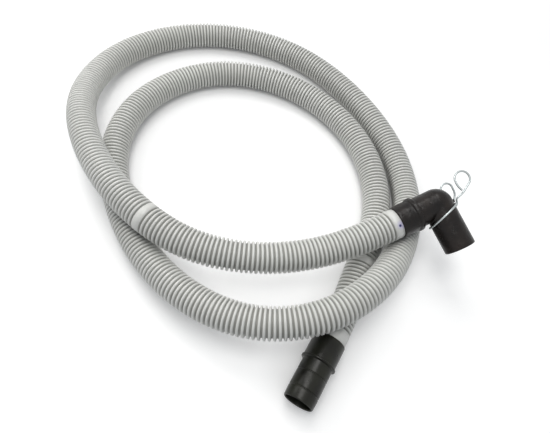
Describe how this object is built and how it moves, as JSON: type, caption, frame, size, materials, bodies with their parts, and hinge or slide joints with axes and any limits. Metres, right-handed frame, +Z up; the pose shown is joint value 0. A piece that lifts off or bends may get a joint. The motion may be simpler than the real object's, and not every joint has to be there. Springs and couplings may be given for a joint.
{
  "type": "drain hose",
  "caption": "Corrugated drain hose lying coiled in loose turns, with a rubber elbow connector held by a spring wire clamp at one end and a straight rubber cuff at the other.",
  "frame": {"origin": "middle of the whole part's footprint, on the floor that the coil lies on", "axes": "+Z up from the floor; +X along the coil's long way, towards the elbow; +Y away from the straight cuff, whose open end faces -Y"},
  "size_m": [0.4287, 0.3569, 0.0791],
  "materials": {
    "hose": "satin grey corrugated plastic",
    "elbow_rubber": "smooth moulded black rubber",
    "cuff_rubber": "semi-gloss moulded black rubber",
    "clamp_wire": "bright zinc-plated spring wire"
  },
  "bodies": {
    "root": {"hose": "hose", "elbow": "elbow_rubber", "cuff": "cuff_rubber", "clamp": "clamp_wire"}
  },
  "joints": []
}
